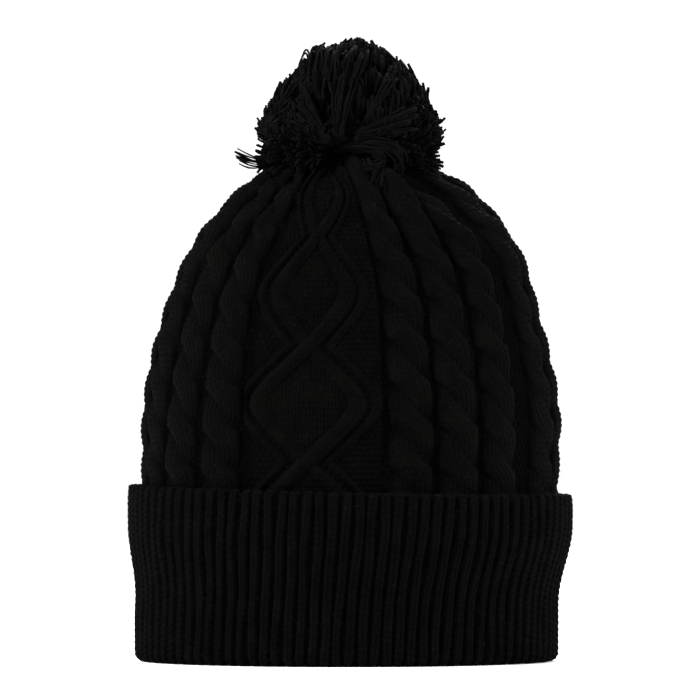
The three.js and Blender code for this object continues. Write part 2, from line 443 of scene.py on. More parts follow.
def ellipse_angle(arc, half_width, half_depth):
    """Angle from the front at a distance along an ellipse."""
    angle = np.linspace(-math.pi, 3 * math.pi, 8001)
    speed = np.hypot(half_width * np.cos(angle), half_depth * np.sin(angle))
    length = np.concatenate([[0], np.cumsum((speed[1:] + speed[:-1]) / 2 * np.diff(angle))])
    length -= np.interp(0, angle, length)
    return np.interp(arc, length, angle)


def oval_length(half_width, half_depth):
    angle = np.linspace(0, TAU, 4001)
    return float(np.trapz(np.hypot(half_width * np.cos(angle), half_depth * np.sin(angle)), angle))


CROWN_HALF = CROWN_OUTLINE[0][0]
CROWN_OVAL = (CROWN_HALF, CROWN_HALF * CROWN_DEPTH_RATIO)
CROWN_ROUND = oval_length(*CROWN_OVAL)
CROWN_CURVE, CROWN_AT = curved_path(CROWN_OUTLINE, 600)
CROWN_LENGTH = CROWN_AT[-1]


def rope_spans():
    """Start and end of each rope round the crown, from the panel's right-hand side onwards."""
    back = CROWN_ROUND / 2
    spans = []
    for start, stop, count in (
        (PANEL_TO, SIDE_STRIP[0], 3),
        (SIDE_STRIP[1], back - BACK_STRIP_HALF, 7),
        (back + BACK_STRIP_HALF, PANEL_FROM + CROWN_ROUND, 9),
    ):
        edges = np.linspace(start, stop, count + 1)
        spans += zip(edges, edges[1:])
    return spans


ROPES = rope_spans()


def wander(around, along, seed, size, waves):
    """A slow uneven wave over the crown or cuff, which closes on itself round the hat."""
    random = np.random.default_rng(seed)
    total = 0
    for _ in range(waves):
        turns = random.integers(1, 9)
        rise = random.uniform(0.01, 0.06)
        start = random.uniform(0, TAU, 2)
        round_wave = np.sin(around / CROWN_ROUND * TAU * turns + start[0])
        total = total + round_wave * np.sin(along * rise + start[1])
    return size * total / math.sqrt(waves)


def crown_place(around, along):
    """Points of the crown's outer envelope, for arrays of arc length round the base and up it."""
    half = np.interp(along, CROWN_AT, CROWN_CURVE[:, 0])
    z = np.interp(along, CROWN_AT, CROWN_CURVE[:, 1]) + np.minimum(along, 0)
    ratio = mix(CROWN_DEPTH_RATIO, CROWN_TOP_DEPTH_RATIO, smooth(150, GATHER_Z, z))
    shift = TIE[0] * (1 - smooth(GATHER_RADIUS, LEANING_TOP_RADIUS, half))
    angle = ellipse_angle(around, *CROWN_OVAL)
    middle = ellipse_angle(PANEL_MIDDLE, *CROWN_OVAL)
    drawn_in = 0.42 * smooth(90, 190, along)
    angle = angle - drawn_in * np.sin(2 * (angle - middle)) / 2
    flank = FLANK_OUT * smooth(92, 125, z) * (1 - smooth(205, 228, z))
    shoulder = flank + SHOULDER_OUT * np.exp(-(((z - SHOULDER_Z) / 24) ** 2))
    shoulder = shoulder * np.clip(np.sin(angle), 0, 1) ** 2
    return xyz(shift + half * np.sin(angle) + shoulder, -half * ratio * np.cos(angle), z)


PLY_HALF = 7.4
PLY_SWING = 4.4
FOLDED_ROPE = 1
FULL_RELIEF_HALF = 36.0


def rope_relief(x, along, phase, crossing, half_pitch):
    """A rope cable of two plies that pass over each other, in millimetres above the ground."""
    turn = math.pi * along / crossing + phase
    apart = np.abs(np.cos(turn))
    width = (half_pitch - 1.0) * (0.91 + 0.09 * apart)
    x = x * (PLY_HALF + PLY_SWING * apart) / width
    best = np.zeros_like(x)
    for k in range(2):
        centre = PLY_SWING * np.cos(turn + k * math.pi)
        lift = np.sin(turn + k * math.pi)
        place = (x - centre) / PLY_HALF
        stitch = knit(place * 1.5, along / ROWS_MM + 0.31 * k)
        body = rounded(place, 2.2)
        height = np.where(np.abs(place) < 1, 3.0 * body + 1.3 * lift + 0.85 * stitch * body, 0)
        best = np.maximum(best, height)
    return best


def band_relief(x, centre, half, columns, along, height):
    place = (x - centre) / half
    body = rounded(place, 1.75)
    stitch = knit(place * columns / 2 + (0.5 if columns % 2 == 0 else 0), along / ROWS_MM)
    return (height + 0.95 * stitch) * body


LATTICE_CROSSING = 57.5
LATTICE_FIRST = 15.0
OUTER_BAND_AWAY = 10.6


def lattice_relief(x, along):
    """The diamond panel: two bands that cross, and a thinner band that runs outside them."""
    turn = math.pi * (along - LATTICE_FIRST) / LATTICE_CROSSING
    swing = np.arcsin(0.93 * np.sin(turn)) / math.asin(0.93)
    reach = mix(25.0, 19.5, smooth(50, 110, along))
    over = 0.7 * np.cos(turn)
    from_left, from_right = x - (PANEL_FROM - PANEL_MIDDLE), PANEL_TO - PANEL_MIDDLE - x
    level = 1.3 * smooth(2, 9, from_left) * smooth(0.5, 3.5, from_right)
    ground = 0.8 * purl(x / 3.6, along / ROWS_MM) + level
    width = np.maximum(np.abs(swing) * reach, 1e-6)
    puff = 1.5 * np.clip(1 - (x / width) ** 2, 0, 1) * np.abs(swing)
    moss = 0.1 + level + puff + 0.9 * knit(x / 3.6, along / ROWS_MM)
    height = np.where(np.abs(x) < width, moss, ground)
    for side in (-1, 1):
        outer = side * (np.abs(swing) * reach + OUTER_BAND_AWAY)
        height = np.maximum(height, band_relief(x, outer, 3.4, 2, along, 2.6))
        centre = side * swing * reach
        height = np.maximum(height, band_relief(x, centre, 6.0, 3, along, 3.7 + side * over))
    return height


# Soft folds where the top is drawn together: where each starts and ends, as places round the
# crown and up it, then its half width and its height.
CROWN_FOLDS = [
    ((34, 182), (86, 132), 8.0, 3.8),
    ((2, 192), (22, 150), 4.5, 1.6),
    ((-44, 186), (-100, 118), 7.5, 2.2),
    ((-66, 190), (-72, 140), 5.0, -1.3),
    ((150, 184), (118, 126), 8.0, 2.6),
    ((255, 184), (214, 122), 8.5, 2.8),
    ((-215, 186), (-165, 120), 8.0, 2.4),
    ((-130, 186), (-150, 140), 6.0, -1.2),
]


def fold_relief(around, along, half):
    total = np.zeros_like(along)
    for (top_around, top_along), (low_around, low_along), fold_half, height in CROWN_FOLDS:
        t = (along - low_along) / (top_along - low_along)
        away = around - mix(low_around, top_around, np.clip(t, -0.5, 1.4))
        away = (away + CROWN_ROUND / 2) % CROWN_ROUND - CROWN_ROUND / 2
        away = away * half / CROWN_HALF
        total = total + height * np.exp(-((away / fold_half) ** 2)) * smooth(-0.45, 0.3, t)
    return total


def seam_relief(x, along):
    """The linked seam at the back: a groove with a chain of stitches in it."""
    half_link = 0.775 + 0.275 * np.cos(TAU * along / SEAM_STITCH_MM)
    link = 1.1 * rounded(x / half_link, 2.2)
    groove = -0.6 * np.cos(math.pi * x / 3.2)
    return np.where(np.abs(x) < 1.6, groove + link, 0)


def crown_relief(around, along):
    """Height of the knit above the floor of its channels."""
    random = np.random.default_rng(11)
    phases = random.uniform(-0.3, 0.3, len(ROPES))
    crossings = random.uniform(20.4, 21.8, len(ROPES))
    half = np.interp(along, CROWN_AT, CROWN_CURVE[:, 0])
    pleats = random.uniform(-1.4, 1.6, len(ROPES))
    pleats[FOLDED_ROPE] = 3.6
    gathering = smooth(100, 165, along)
    height = 0.8 * purl(around / 3.4, along / ROWS_MM)
    height = height + seam_relief(around - CROWN_ROUND / 2, along)
    for i, (start, stop) in enumerate(ROPES):
        x = around - (start + stop) / 2 - 0.45 * np.sin(along / 23 + i * 1.7) * smooth(-5, 20, along)
        half_pitch = (stop - start) / 2
        near = np.abs(x) < half_pitch
        x = x[near]
        rope = rope_relief(x, along[near], phases[i], crossings[i], half_pitch)
        rope = rope + pleats[i] * gathering[near] * (1 - (x / half_pitch) ** 2)
        height[near] = np.maximum(height[near], rope)
    panel = (around > PANEL_FROM + 1.2) & (around < PANEL_TO - 1.2)
    height[panel] = lattice_relief(around[panel] - PANEL_MIDDLE, along[panel])
    height = height + fold_relief(around, along, half)
    return height * np.clip(half / FULL_RELIEF_HALF, 0.15, 1)


def crown_surface(around, along):
    """The crown's outer face: its points, directions out of it, its envelope and its rise."""
    envelope = crown_place(around, along)
    rise = crown_place(around, along + 0.25) - crown_place(around, along - 0.25)
    across = crown_place(around + 0.5, along) - crown_place(around - 0.5, along)
    normal = unit(np.cross(across, rise))
    relief = crown_relief(around, along)
    height = relief + wander(around, along, 5, 1.1, 8)
    height = mix(CROWN_RELIEF + 0.8, height, smooth(-HEM_FILLED, 0.5, along))
    return envelope + normal * (height - CROWN_RELIEF)[..., None], normal, envelope, relief / CROWN_RELIEF


MESH_STEP = 0.48
CROWN_ROWS = 436


def crown_gore(name, start, stop):
    """One stretch of the crown fabric, from one channel between ropes to another."""
    across = np.linspace(start, stop, 4 * round((stop - start) / MESH_STEP / 4) + 1)
    around, along = np.meshgrid(across, np.linspace(-CROWN_HEM, CROWN_LENGTH, CROWN_ROWS + 1))
    front, normal, envelope, rise = crown_surface(around, along)
    back = envelope - normal * (CROWN_THICK - 0.4)
    points, faces, edge = shell(front, back, 4)
    piece = make_piece(name, points, faces, crown_yarn, "hat", edge, rise)
    return piece


# The last rope of each gore. The side strip goes with the rope before it.
GORE_ENDS = [0, 2, 5, 8, 11, 15, 18]


def crown():
    """The crown in gores, which meet in the channels between ropes."""
    start = PANEL_FROM
    for number, rope in enumerate(GORE_ENDS, 1):
        stop = SIDE_STRIP[1] if rope == 2 else ROPES[rope][1]
        piece = crown_gore(f"crown_knit_{number}", start, stop)
        if number == 1:
            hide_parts("knit_body")
        start = stop


# ---- cuff

CUFF_TILT = 0.056
RIB_LEAN = 4.0
CUFF_SHIFT = 1.7
EDGE_DEPTH = 2.3
CUFF_ROWS = 224
RIB_COLUMNS = 12


def cuff_half_width(z):
    return mix(CUFF_HALF_FOLD, CUFF_HALF_TOP, smooth(30, 68, z))


def arc(centre_x, centre_z, radius, start, stop, steps=12):
    angle = np.radians(np.linspace(start, stop, steps))
    return np.stack([centre_x + radius * np.cos(angle), centre_z + radius * np.sin(angle)], axis=1)


def cuff_path():
    """Half width and height along the cuff: round the fold, up the outside and over the edge."""
    fold_inner = CUFF_HALF_FOLD - TWO_LAYERS
    z = np.linspace(6, CUFF_HEIGHT - 4, 30)
    wall = np.stack([cuff_half_width(z), z], axis=1)
    edge_x = CUFF_HALF_TOP - RIB_THICK / 2
    edge_z = CUFF_HEIGHT - RIB_THICK / 2
    lip = np.array([[CUFF_HALF_TOP - RIB_THICK, edge_z - 5]])
    return np.vstack([
        arc(fold_inner + 3, 3, 3, 180, 270),
        arc(CUFF_HALF_FOLD - 4.5, 4.5, 4.5, 270, 350),
        wall,
        arc(edge_x, edge_z, RIB_THICK / 2, 20, 180),
        lip,
    ])


CUFF_OVAL = CUFF_HIGH[:2]
CUFF_ROUND = oval_length(*CUFF_OVAL)


def oval_place(half_width, z, turn):
    """Points on the cuff's oval. turn is 0 at the front and 1 after a full round."""
    lean = RIB_LEAN * (z / CUFF_HEIGHT - 0.5)
    angle = ellipse_angle(turn * CUFF_ROUND + lean, *CUFF_OVAL)
    x = half_width * np.sin(angle) - CUFF_SHIFT * (1 - smooth(20, 75, z))
    y = -(half_width - DEPTH_DROP) * np.cos(angle)
    lower = 1 - CUFF_TILT * (0.5 + x / (2 * CUFF_HALF_TOP)) * z / CUFF_HEIGHT
    return xyz(x, y, z * lower)


def rib_relief(turn, along):
    """Ribs of one knit and one purl column, with the slight wander of soft ribs."""
    random = np.random.default_rng(23)
    starts = random.uniform(0, TAU, (RIBS, 2))
    widths = random.uniform(0.93, 1.06, RIBS)
    number = np.floor(turn * RIBS).astype(int) % RIBS
    place = turn * RIBS - np.floor(turn * RIBS) - 0.5
    sway = 0.09 * np.sin(along / 8 + starts[number, 0]) + 0.09 * np.sin(along / 19 + starts[number, 1])
    place = place - sway * (1 - (2 * place) ** 2)
    column = place / (0.415 * widths[number])
    rows = along / RIB_ROWS_MM + 0.37 * (number % 3)
    body = rounded(column, 2.6)
    return np.where(
        np.abs(column) < 1,
        (1.6 + 1.1 * knit(column / 2, rows)) * body,
        0.28 * np.abs(np.sin(math.pi * rows)),
    )


def cuff_piece(name, first, last):
    """One stretch of the cuff, from one groove between ribs to another."""
    path, at = even_path(cuff_path(), CUFF_ROWS + 1)
    columns = (last - first) * RIB_COLUMNS
    turn, along = np.meshgrid(np.linspace(first / RIBS, last / RIBS, columns + 1), at)
    half, z = path[:, :1], path[:, 1:]
    envelope = oval_place(half, z, turn)
    left, right = oval_place(half, z, turn - 0.001), oval_place(half, z, turn + 0.001)
    rise = np.gradient(envelope, axis=0)
    normal = unit(np.cross(right - left, rise))
    from_edge = at[-1] - along
    thin = np.minimum(smooth(13, 20, from_edge), smooth(0, 8, along))
    height = rib_relief(turn, along) * mix(0.85, 1, thin)
    slack = wander(turn * CROWN_ROUND, along, 31, 0.55, 6) * smooth(4, 30, z) * smooth(8, 16, from_edge)
    depth = np.minimum(RIB_RELIEF - height, mix(EDGE_DEPTH - 0.25, RIB_RELIEF, thin))
    front = envelope + normal * (slack - depth)[..., None]
    back = envelope - normal * mix(EDGE_DEPTH, RIB_RELIEF + 1.1, thin)[..., None]
    front[..., 2] = np.maximum(front[..., 2], 0.02)
    points, faces, edge = shell(front, back, 4)
    piece = make_piece(name, points, faces, rib_yarn, "hat", edge, height / RIB_RELIEF)
    return piece


def cuff():
    third = RIBS // 3
    for i in range(3):
        piece = cuff_piece(f"cuff_rib_{i + 1}", i * third, (i + 1) * third)
        if i == 0:
            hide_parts("turn_up_cuff")


def inner_band():
    """The inner layer of the rib, seen from below, up to the hem of the crown fabric."""
    low_z, high_z = 5.5, CROWN_BASE_Z - CROWN_HEM - 0.4
    around = np.linspace(0, 1, RIBS * 8 + 1)[:-1]
    turn, height_z = np.meshgrid(around, np.linspace(high_z, low_z, 57))
    column = (turn * RIBS - np.floor(turn * RIBS) - 0.5) / 0.41
    relief = (1.3 + 0.7 * knit(column / 2, height_z / RIB_ROWS_MM)) * rounded(column, 2.6)
    inner_half = cuff_half_width(height_z) - TWO_LAYERS + 2.1 - relief
    inside = oval_place(inner_half, height_z, turn)
    outside = oval_place(cuff_half_width(height_z) - RIB_THICK - 0.6, height_z, turn)
    inside[..., 2] = height_z
    outside[..., 2] = height_z
    inner, outer = round_grid(*turn.shape), round_grid(*turn.shape, first=turn.size)
    faces = [quads(inner), quads(outer)[:, ::-1]]
    faces += [quads(np.stack([outer[0], inner[0]])), quads(np.stack([inner[-1], outer[-1]]))]
    points = np.vstack([inside.reshape(-1, 3), outside.reshape(-1, 3)])
    rise = relief / RIB_RELIEF
    piece = make_piece("rib_band_inside", points, faces, rib_yarn, "hat", rise=rise)
    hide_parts("inner_rib_band")


# ---- pom-pom


def dome(tilt, spin):
    """Points of the pom-pom's dome. tilt is 0 at its top and a quarter turn at its lower edge."""
    radius = POM_RADIUS * np.sin(tilt) ** DOME_POWER
    z = POM_BASE_Z + (POM_TOP_Z - POM_BASE_Z) * np.cos(tilt)
    points = round_axis(radius, spin, z)
    points[..., 0] += DOME_LEAN * np.cos(tilt) ** 4
    return points


def even_tilts(random, count, low, high):
    return np.arccos(mix(math.cos(low), math.cos(high), random.uniform(0, 1, count)))


def front_point(x, z):
    """The point on the front of the dome at an x and a height."""
    tilt = math.acos((z - POM_BASE_Z) / (POM_TOP_Z - POM_BASE_Z))
    radius = POM_RADIUS * math.sin(tilt) ** DOME_POWER
    return np.array([x, -math.sqrt(max(radius**2 - x**2, 1.0)), z])


def turned(points, spin):
    """Points turned about the upright axis."""
    points = np.asarray(points, float)
    x, y = points[..., 0], points[..., 1]
    cosine, sine = math.cos(spin), math.sin(spin)
    return xyz(x * cosine - y * sine, x * sine + y * cosine, points[..., 2])


# Partings where the strands fall to two sides. First those at the front: x, height, how far they
# part and how deep they are. The others are tilt, spin and the same two.
FRONT_PARTINGS = [
    (-13, 275, 8.0, 0.30), (-7, 277, 6.0, 0.25),
    (1, 264, 4.5, 0.24), (6, 274, 4.5, 0.24), (11, 284, 4.5, 0.20),
]
OTHER_PARTINGS = [
    (1.05, 0.35, 7.0, 0.2), (0.8, 1.5, 6.0, 0.16), (1.1, 2.4, 7.5, 0.2), (0.95, 3.6, 6.0, 0.16)
]


def part_strands(ends):
    """Pushes strand ends out of the partings and shortens those that stay in them."""
    partings = [(front_point(x, z), reach, depth) for x, z, reach, depth in FRONT_PARTINGS]
    partings += [(dome(tilt, spin), reach, depth) for tilt, spin, reach, depth in OTHER_PARTINGS]
    for centre, reach, depth in partings:
        away = ends - centre
        distance = np.linalg.norm(away, axis=1, keepdims=True)
        near = np.exp(-((distance / reach) ** 2))
        ends = ends + away / np.maximum(distance, 0.5) * reach * near * 0.6
        ends = TIE + (ends - TIE) * (1 - depth * near)
    return ends


def lock_of(ends, locks):
    """The number of the lock that is nearest to each strand end."""
    distance = np.linalg.norm(ends[:, None] - locks[None], axis=2)
    return np.argmin(distance, axis=1)


def bezier(start, first, second, end, steps):
    t = np.linspace(0, 1, steps)[None, :, None]
    return (
        start[:, None] * (1 - t) ** 3
        + first[:, None] * 3 * t * (1 - t) ** 2
        + second[:, None] * 3 * t**2 * (1 - t)
        + end[:, None] * t**3
    )


def wobble(random, paths, size):
    """Small bends in each strand, which grow towards its cut end."""
    count, steps = paths.shape[:2]
    t = np.linspace(0, 1, steps)[None, :, None]
    waves = random.uniform(0.8, 2.4, (count, 1, 3))
    starts = random.uniform(0, TAU, (count, 1, 3))
    return paths + random.normal(0, size, (count, 1, 3)) * np.sin(TAU * t * waves + starts) * t


def strand_piece(name, random, paths, radius, body):
    """One piece of many strands of two-ply yarn, each even and a little open at its cut end."""
    count, steps = paths.shape[:2]
    t = np.linspace(0, 1, steps)
    open_end = 1 + 0.25 * smooth(0.8, 0.93, t) - 0.22 * smooth(0.95, 1.0, t)
    radii = radius * open_end[None] * random.uniform(0.8, 1.15, (count, 1))
    points, faces = tubes(paths, radii, 6, 0.2, TAU / 7, random.uniform(0, TAU, count))
    return make_piece(name, points, faces, pom_yarn, body)


def pom_paths(random, count, grown_low, grown_high, locks, big_locks, combed):
    """Strands that run out from the tie and then up along the dome, drawn together into locks."""
    tilt = even_tilts(random, count, 0.0, 1.43)
    spin = random.uniform(0, TAU, count)
    ends = dome(tilt, spin)
    small = locks[lock_of(ends, locks)]
    big_number = lock_of(ends, big_locks)
    ends = mix(ends, small, random.uniform(0.0, 0.3, (count, 1)))
    ends = mix(ends, big_locks[big_number], 0.17)
    ends = part_strands(ends)
    ends = TIE + (ends - TIE) * random.uniform(grown_low, grown_high, (count, 1))
    stroke = combed[big_number] * random.uniform(0.6, 1.2, count)
    low_tilt = np.clip(tilt + stroke, 0.05, 1.48)
    low_spin = spin + random.normal(0, 0.07, count)
    low = TIE + (dome(low_tilt, low_spin) - TIE) * 0.93
    start = TIE + [0, 0, 5.5] + random.normal(0, 1.6, (count, 3))
    paths = bezier(start, mix(start, low, 0.6), low, ends, 14)
    return wobble(random, paths, 0.6)


def pom_pom():
    random = np.random.default_rng(77)
    locks = dome(even_tilts(random, 420, 0.0, 1.4), random.uniform(0, TAU, 420))
    big_locks = dome(even_tilts(random, 46, 0.0, 1.4), random.uniform(0, TAU, 46))
    combed = random.uniform(0.02, 0.5, 46)
    for number, (low, high) in enumerate([(0.97, 1.03), (0.93, 1.02), (0.82, 0.96)], 1):
        paths = pom_paths(random, 1080, low, high, locks, big_locks, combed)
        piece = strand_piece(f"pom_yarn_{number}", random, paths, 0.64, "pom")
        if number == 1:
            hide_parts("pom_strands")


# Locks of long strands that lie on the pom-pom, from near its tie up and out. Each has x and height
# where it starts and ends at the front, its width, its number of strands and how far it stands out.
LONG_LOCKS = [
    (-14, 279, -16, 299, 4.0, 34, 0.99),
    (-6, 259, -1, 300, 2.8, 34, 1.0),
    (-6, 264, -4, 288, 1.8, 16, 1.03),
    (8, 265, 20, 287, 2.2, 20, 0.98),
    (5, 260, 31, 269, 2.2, 22, 1.01),
    (4, 257, 29, 262, 2.4, 20, 0.98),
    (-10, 257, -28, 266, 3.0, 20, 0.94),
    (-14, 262, -25, 280, 3.0, 18, 0.96),
]


def onto_dome(points, above):
    """Moves points onto the dome, then away from the tie by a factor."""
    spread = np.hypot(points[..., 0], points[..., 1]) / POM_RADIUS
    rise = np.maximum(points[..., 2] - POM_BASE_Z, 0.5) / (POM_TOP_Z - POM_BASE_Z)
    surface = dome(np.arctan2(spread ** (1 / DOME_POWER), rise), np.arctan2(points[..., 1], points[..., 0]))
    return TIE + (surface - TIE) * above


def long_lock(random, start, end, width, count, above):
    """Strands that leave the tie, lie side by side on the dome and fan out towards their ends."""
    t = np.linspace(0, 1, 12)[None, :, None]
    reach = random.uniform(0.66, 1.04, (count, 1, 1))
    side = unit(np.cross(end - start, (start + end) / 2 - TIE))
    fanned = random.normal(0, 1, (count, 1, 1)) * width * (0.3 + 0.9 * t)
    sunk, lifted = random.uniform(0, 0.09, (count, 1, 1)), random.uniform(0.02, 0.09, (count, 1, 1))
    height = above - sunk + lifted * t**3
    surface = onto_dome(mix(start, end, t * reach) + side * fanned, height)
    lead = mix(TIE + [0, 0, 4.0], surface[:, :1], np.array([0.1, 0.5, 0.85])[None, :, None])
    return np.concatenate([lead, surface], axis=1)


def long_locks():
    """The long locks at the front, and most of them again, turned round to the other sides."""
    for name, spins in (("pom_long_locks_front", [0.0]), ("pom_long_locks_back", [1.75, 3.3, 4.7])):
        random = np.random.default_rng(83 + len(spins))
        paths = []
        for spin in spins:
            for x0, z0, x1, z1, width, count, above in LONG_LOCKS[1:] if spin else LONG_LOCKS:
                jitter = random.normal(0, 2.2, 4) * (spin > 0)
                start = front_point(x0 + jitter[0], z0)
                end = front_point(x1 + jitter[1], min(z1 + jitter[2], POM_TOP_Z - 3))
                if spin:
                    count, above = int(count * 0.7), above - 0.03
                paths.append(long_lock(random, turned(start, spin), turned(end, spin), width, count, above))
        paths = wobble(random, np.concatenate(paths), 0.5)
        strand_piece(name, random, paths, 0.62, "pom")


def flopped_lock():
    """Strands at the upper left that have fallen forward, with their ends hanging."""
    random = np.random.default_rng(97)
    route = [(-10, -9, 288), (-11.5, -13, 299.5), (-14, -21, 298.5), (-15, -31, 290), (-15, -36.5, 280)]
    paths = bundle(random, route, 48, 16, [4.0, 1.2, 1.3], [2.2, 1.0, 0.6], 0.72)
    strand_piece("pom_flopped_lock", random, paths, 0.6, "pom")


def crown_height_under(x, y):
    """Height of the crown's envelope under a point, near the gather."""
    spread = np.hypot(x, y / 0.86)
    order = np.argsort(CROWN_CURVE[:, 0])
    return np.interp(spread, CROWN_CURVE[order, 0], CROWN_CURVE[order, 1])


def part_at_front(spin):
    """Turns directions away from the front, where the tie shows as a dark gap."""
    away = (spin + 1.5 * math.pi) % TAU - math.pi
    return spin + 0.32 * np.tanh(away / 0.02) * np.exp(-((away / 0.45) ** 2))


def pom_skirt():
    """The lowest strands, which lie on the crown round the tie."""
    random = np.random.default_rng(78)
    count = 1080
    spin = random.uniform(0, TAU, count)
    spin = part_at_front(spin + 0.05 * np.sin(spin * 23))
    reach = POM_RADIUS * mix(0.70, 1.03, random.uniform(0, 1, count) ** 0.7)
    ends = round_axis(reach, spin, 0.0)
    ground = crown_height_under(ends[:, 0], ends[:, 1])
    lift = random.uniform(0, 1, count) ** 1.1
    ends[:, 2] = ground + 0.8 + 27 * lift
    start = TIE + round_axis(4, spin, random.uniform(-2.5, 2.5, count))
    first = mix(start, ends, 0.35)
    first[:, 2] = mix(246.2, 252, lift)
    second = mix(start, ends, 0.86)
    under = crown_height_under(second[:, 0], second[:, 1]) + 1
    second[:, 2] = np.maximum(mix(245.0, 259, lift), under)
    paths = wobble(random, bezier(start, first, second, ends, 13), 0.5)
    strand_piece("pom_skirt", random, paths, 0.62, "hat")


def pom_underlay():
    """Short strands close round the tie, which lie down on the gathered top of the crown."""
    random = np.random.default_rng(79)
    count = 560
    spin = part_at_front(random.uniform(0, TAU, count))
    reach = random.uniform(16, 34, count)
    start = TIE + round_axis(3, spin, random.uniform(-3.5, 1.0, count))
    ends = TIE * [1, 1, 0] + round_axis(reach, spin, 0.0)
    ends[:, 2] = crown_height_under(ends[:, 0] - TIE[0], ends[:, 1]) - random.uniform(-2.5, 2.5, count)
    middle = mix(start, ends, 0.5) + [0, 0, 0.8]
    paths = wobble(random, bezier(start, middle, middle, ends, 9), 0.4)
    strand_piece("pom_underlay", random, paths, 0.66, "hat")


def bundle(random, route, count, steps, spread, fan, shortest):
    """Strands that run side by side along a route, fan out towards its end and stop unevenly."""
    route, _ = curved_path(route, 60)
    at = np.linspace(0, 59, steps) * random.uniform(shortest, 1.0, (count, 1))
    paths = np.stack([np.interp(at, np.arange(60), route[:, k]) for k in range(3)], axis=-1)
    t = np.linspace(0, 1, steps)[None, :, None]
    side = random.normal(0, 1, (count, 1, 3)) * spread
    drift = random.normal(0, 1, (count, 1, 3)) * fan
    return wobble(random, paths + side + drift * t**2, 0.4)


def curled_lock():
    """Strands that have slipped out at the front and curl over the gathered crown."""
    random = np.random.default_rng(12)
    outer_arc = [
        (-6, -20, 251), (1, -36, 253.5), (11, -43.5, 254),
        (21, -43.5, 251.5), (25.5, -44, 246), (21, -45.5, 241.5),
    ]
    hook = [
        (2, -34, 251), (9, -43.5, 251.5), (14.5, -46, 249),
        (14.5, -47, 244.5), (9.5, -48, 243), (7, -47, 246.5),
    ]
    hanging = [(8, -38, 252), (13, -43.5, 250), (15.5, -46, 244), (14.5, -48.5, 238), (13.5, -52, 232)]
    for name, *shape in (
        ("pom_curled_lock", outer_arc, 20, 20, 1.3, 1.8, 0.85),
        ("pom_hooked_lock", hook, 12, 20, 0.9, 1.1, 0.85),
        ("pom_hanging_ends", hanging, 9, 18, 1.1, 1.3, 0.8),
    ):
        strand_piece(name, random, bundle(random, *shape), 0.5, "hat")


def tie_ends():
    """The longer cut ends of the tie, a small flat brush that sticks out at the lower left."""
    random = np.random.default_rng(91)
    paths = []
    for low in np.linspace(0, 1, 7):
        tip_x = -56.3 + 2.6 * abs(low - 0.35) + random.normal(0, 0.7)
        depth = -18.5 + random.normal(0, 1.3)
        route, _ = curved_path([
            (TIE[0] - 6, -3, 248),
            (-24, -8, 248.5),
            (-36, mix(-12, depth, 0.4), 247.3 - 2.2 * low),
            (-43.5, mix(-12, depth, 0.8), 247.5 - 4.6 * low),
            (-49.5, depth, 249.4 - 6.4 * low),
            (tip_x, depth, 252.2 - 6.8 * low),
        ], 18)
        paths.append(route)
    paths = wobble(random, np.array(paths), 0.25)
    piece = strand_piece("pom_tie_ends", random, paths, 0.4, "hat")
    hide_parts("tie_tails")


def pom_heart():
    """The dense middle of the pom-pom, where the strands are packed."""
    rows, columns, radius = 40, 72, 24
    random = np.random.default_rng(5)
    rise = np.linspace(0.02, 0.98, rows)[:, None] * math.pi
    spin = np.linspace(0, TAU, columns, endpoint=False)[None]
    size = radius * (1 + 0.05 * np.sin(spin * 11 + 3 * rise) + 0.03 * random.normal(0, 1, (rows, columns)))
    flattened = np.where(rise < math.pi / 2, 0.72, 0.95)
    points = round_axis(size * np.sin(rise), spin, TIE[2] + 28 + size * np.cos(rise) * flattened)
    poles = [[0, 0, points[0, :, 2].mean()], [0, 0, points[-1, :, 2].mean()]]
    index = round_grid(rows, columns)
    top, bottom = rows * columns, rows * columns + 1
    caps = [(top, a, b) for a, b in zip(index[0], index[0, 1:])]
    caps += [(bottom, b, a) for a, b in zip(index[-1], index[-1, 1:])]
    points = np.vstack([points.reshape(-1, 3), poles])
    make_piece("pom_heart", points, [quads(index)[:, ::-1], np.array(caps)], pom_yarn, "pom")


# ---- tie, gather and seam yarns


def yarn_piece(name, paths, radius, body, node, sides=8):
    """Twisted sewing yarn along one or more routes, in place of a CAD node."""
    points, faces = tubes(np.array(paths), radius, sides, 0.16, TAU / 5)
    piece = make_piece(name, points, faces, sewing_yarn, body)
    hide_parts(node)


def coil(radius, low_z, high_z, turns, steps):
    """A helix round the tie."""
    t = np.linspace(0, 1, steps)
    return [TIE[0], 0, 0] + round_axis(radius, TAU * turns * t, mix(low_z, high_z, t))


def two_plies(*helix):
    """Two helices half a turn apart."""
    strand = coil(*helix)
    return [strand, [2 * TIE[0], 0, 0] + strand * [-1, -1, 1]]


def trefoil(node, size):
    """An overhand knot whose ends overlap by a few degrees, so that it reads as closed."""
    t = np.linspace(0, TAU * 1.01, 90)
    x, y = np.sin(t) + 2 * np.sin(2 * t), np.cos(t) - 2 * np.cos(2 * t)
    return middle_of(node) + xyz(x, y, -1.3 * np.sin(3 * t)) * size / 3


def gather_yarns():
    """The yarn that draws the crown shut, and its knot."""
    t = np.linspace(0, TAU * 1.02, 120)
    ring = middle_of("gather_yarn") + round_axis(5 + 0.5 * np.sin(9 * t), t, 0.7 * np.cos(9 * t))
    yarn_piece("gather_yarn_ring", [ring], 0.95, "hat", "gather_yarn")
    yarn_piece("gather_yarn_knot", [trefoil("gather_knot", 1.4)], 0.5, "hat", "gather_knot")


